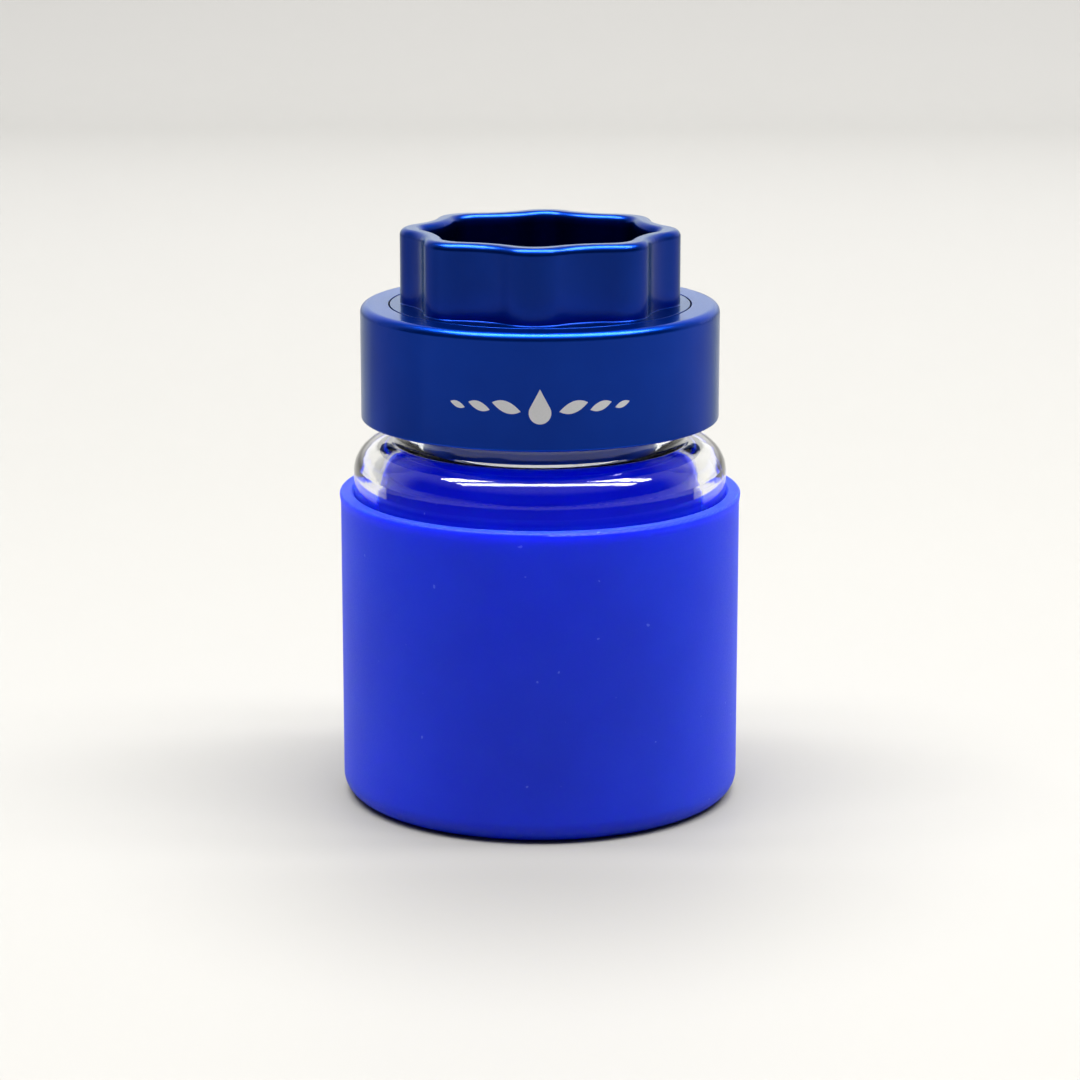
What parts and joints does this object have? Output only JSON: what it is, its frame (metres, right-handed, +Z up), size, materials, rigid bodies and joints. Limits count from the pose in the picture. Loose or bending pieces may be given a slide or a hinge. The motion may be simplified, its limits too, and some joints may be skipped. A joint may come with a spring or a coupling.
{
  "type": "ink bottle",
  "caption": "Small clear glass bottle in a blue silicone sleeve, with a blue aluminium screw collar and a lobed, hollow screw stopper in it.",
  "frame": {"origin": "middle of the sleeve's underside, on the surface that the bottle stands on", "axes": "+Z up along the bottle's axis; +X to the right and -Y towards the viewer when the mark on the collar faces the viewer"},
  "size_m": [0.0522, 0.0522, 0.0747],
  "materials": {
    "sleeve_silicone": "matte blue moulded silicone with a soft sheen",
    "clear_glass": "clear polished thick-walled glass",
    "gasket_silicone": "grey translucent silicone",
    "insert_plastic": "black moulded polypropylene",
    "collar_aluminium": "blue anodised over fine bead blasting, satin",
    "seal_rubber": "black nitrile rubber",
    "knob_aluminium": "blue anodised over fine bead blasting, satin"
  },
  "bodies": {
    "sleeve": {"silicone_sleeve": "sleeve_silicone"},
    "bottle": {"glass_bottle": "clear_glass"},
    "gasket": {"neck_gasket": "gasket_silicone"},
    "collar": {"cap_collar": "collar_aluminium", "thread_insert": "insert_plastic"},
    "seal_ring": {"stopper_seal_ring": "seal_rubber"},
    "knob": {"stopper_knob": "knob_aluminium"}
  },
  "joints": [
    {"name": "bottle_lift", "type": "slide", "parent": "sleeve", "child": "bottle", "axis": [0, 0, 1], "range_m": [0, 0.042]},
    {"name": "cap_rise", "type": "slide", "parent": "bottle", "child": "gasket", "axis": [0, 0, 1], "range_m": [0, 0.01201]},
    {"name": "cap_turn", "type": "hinge", "parent": "gasket", "child": "collar", "pos_m": [0, 0, 0.0551], "axis": [0, 0, 1], "range_deg": [0, 1080]},
    {"name": "stopper_rise", "type": "slide", "parent": "collar", "child": "seal_ring", "axis": [0, 0, 1], "range_m": [0, 0.01001]},
    {"name": "stopper_turn", "type": "hinge", "parent": "seal_ring", "child": "knob", "pos_m": [0, 0, 0.06498], "axis": [0, 0, 1], "range_deg": [0, 1800]}
  ],
  "couplings": [
    {"joint": "cap_rise", "follows": "cap_turn", "m_per_rad": 0.00063662},
    {"joint": "stopper_rise", "follows": "stopper_turn", "m_per_rad": 0.00031831}
  ]
}
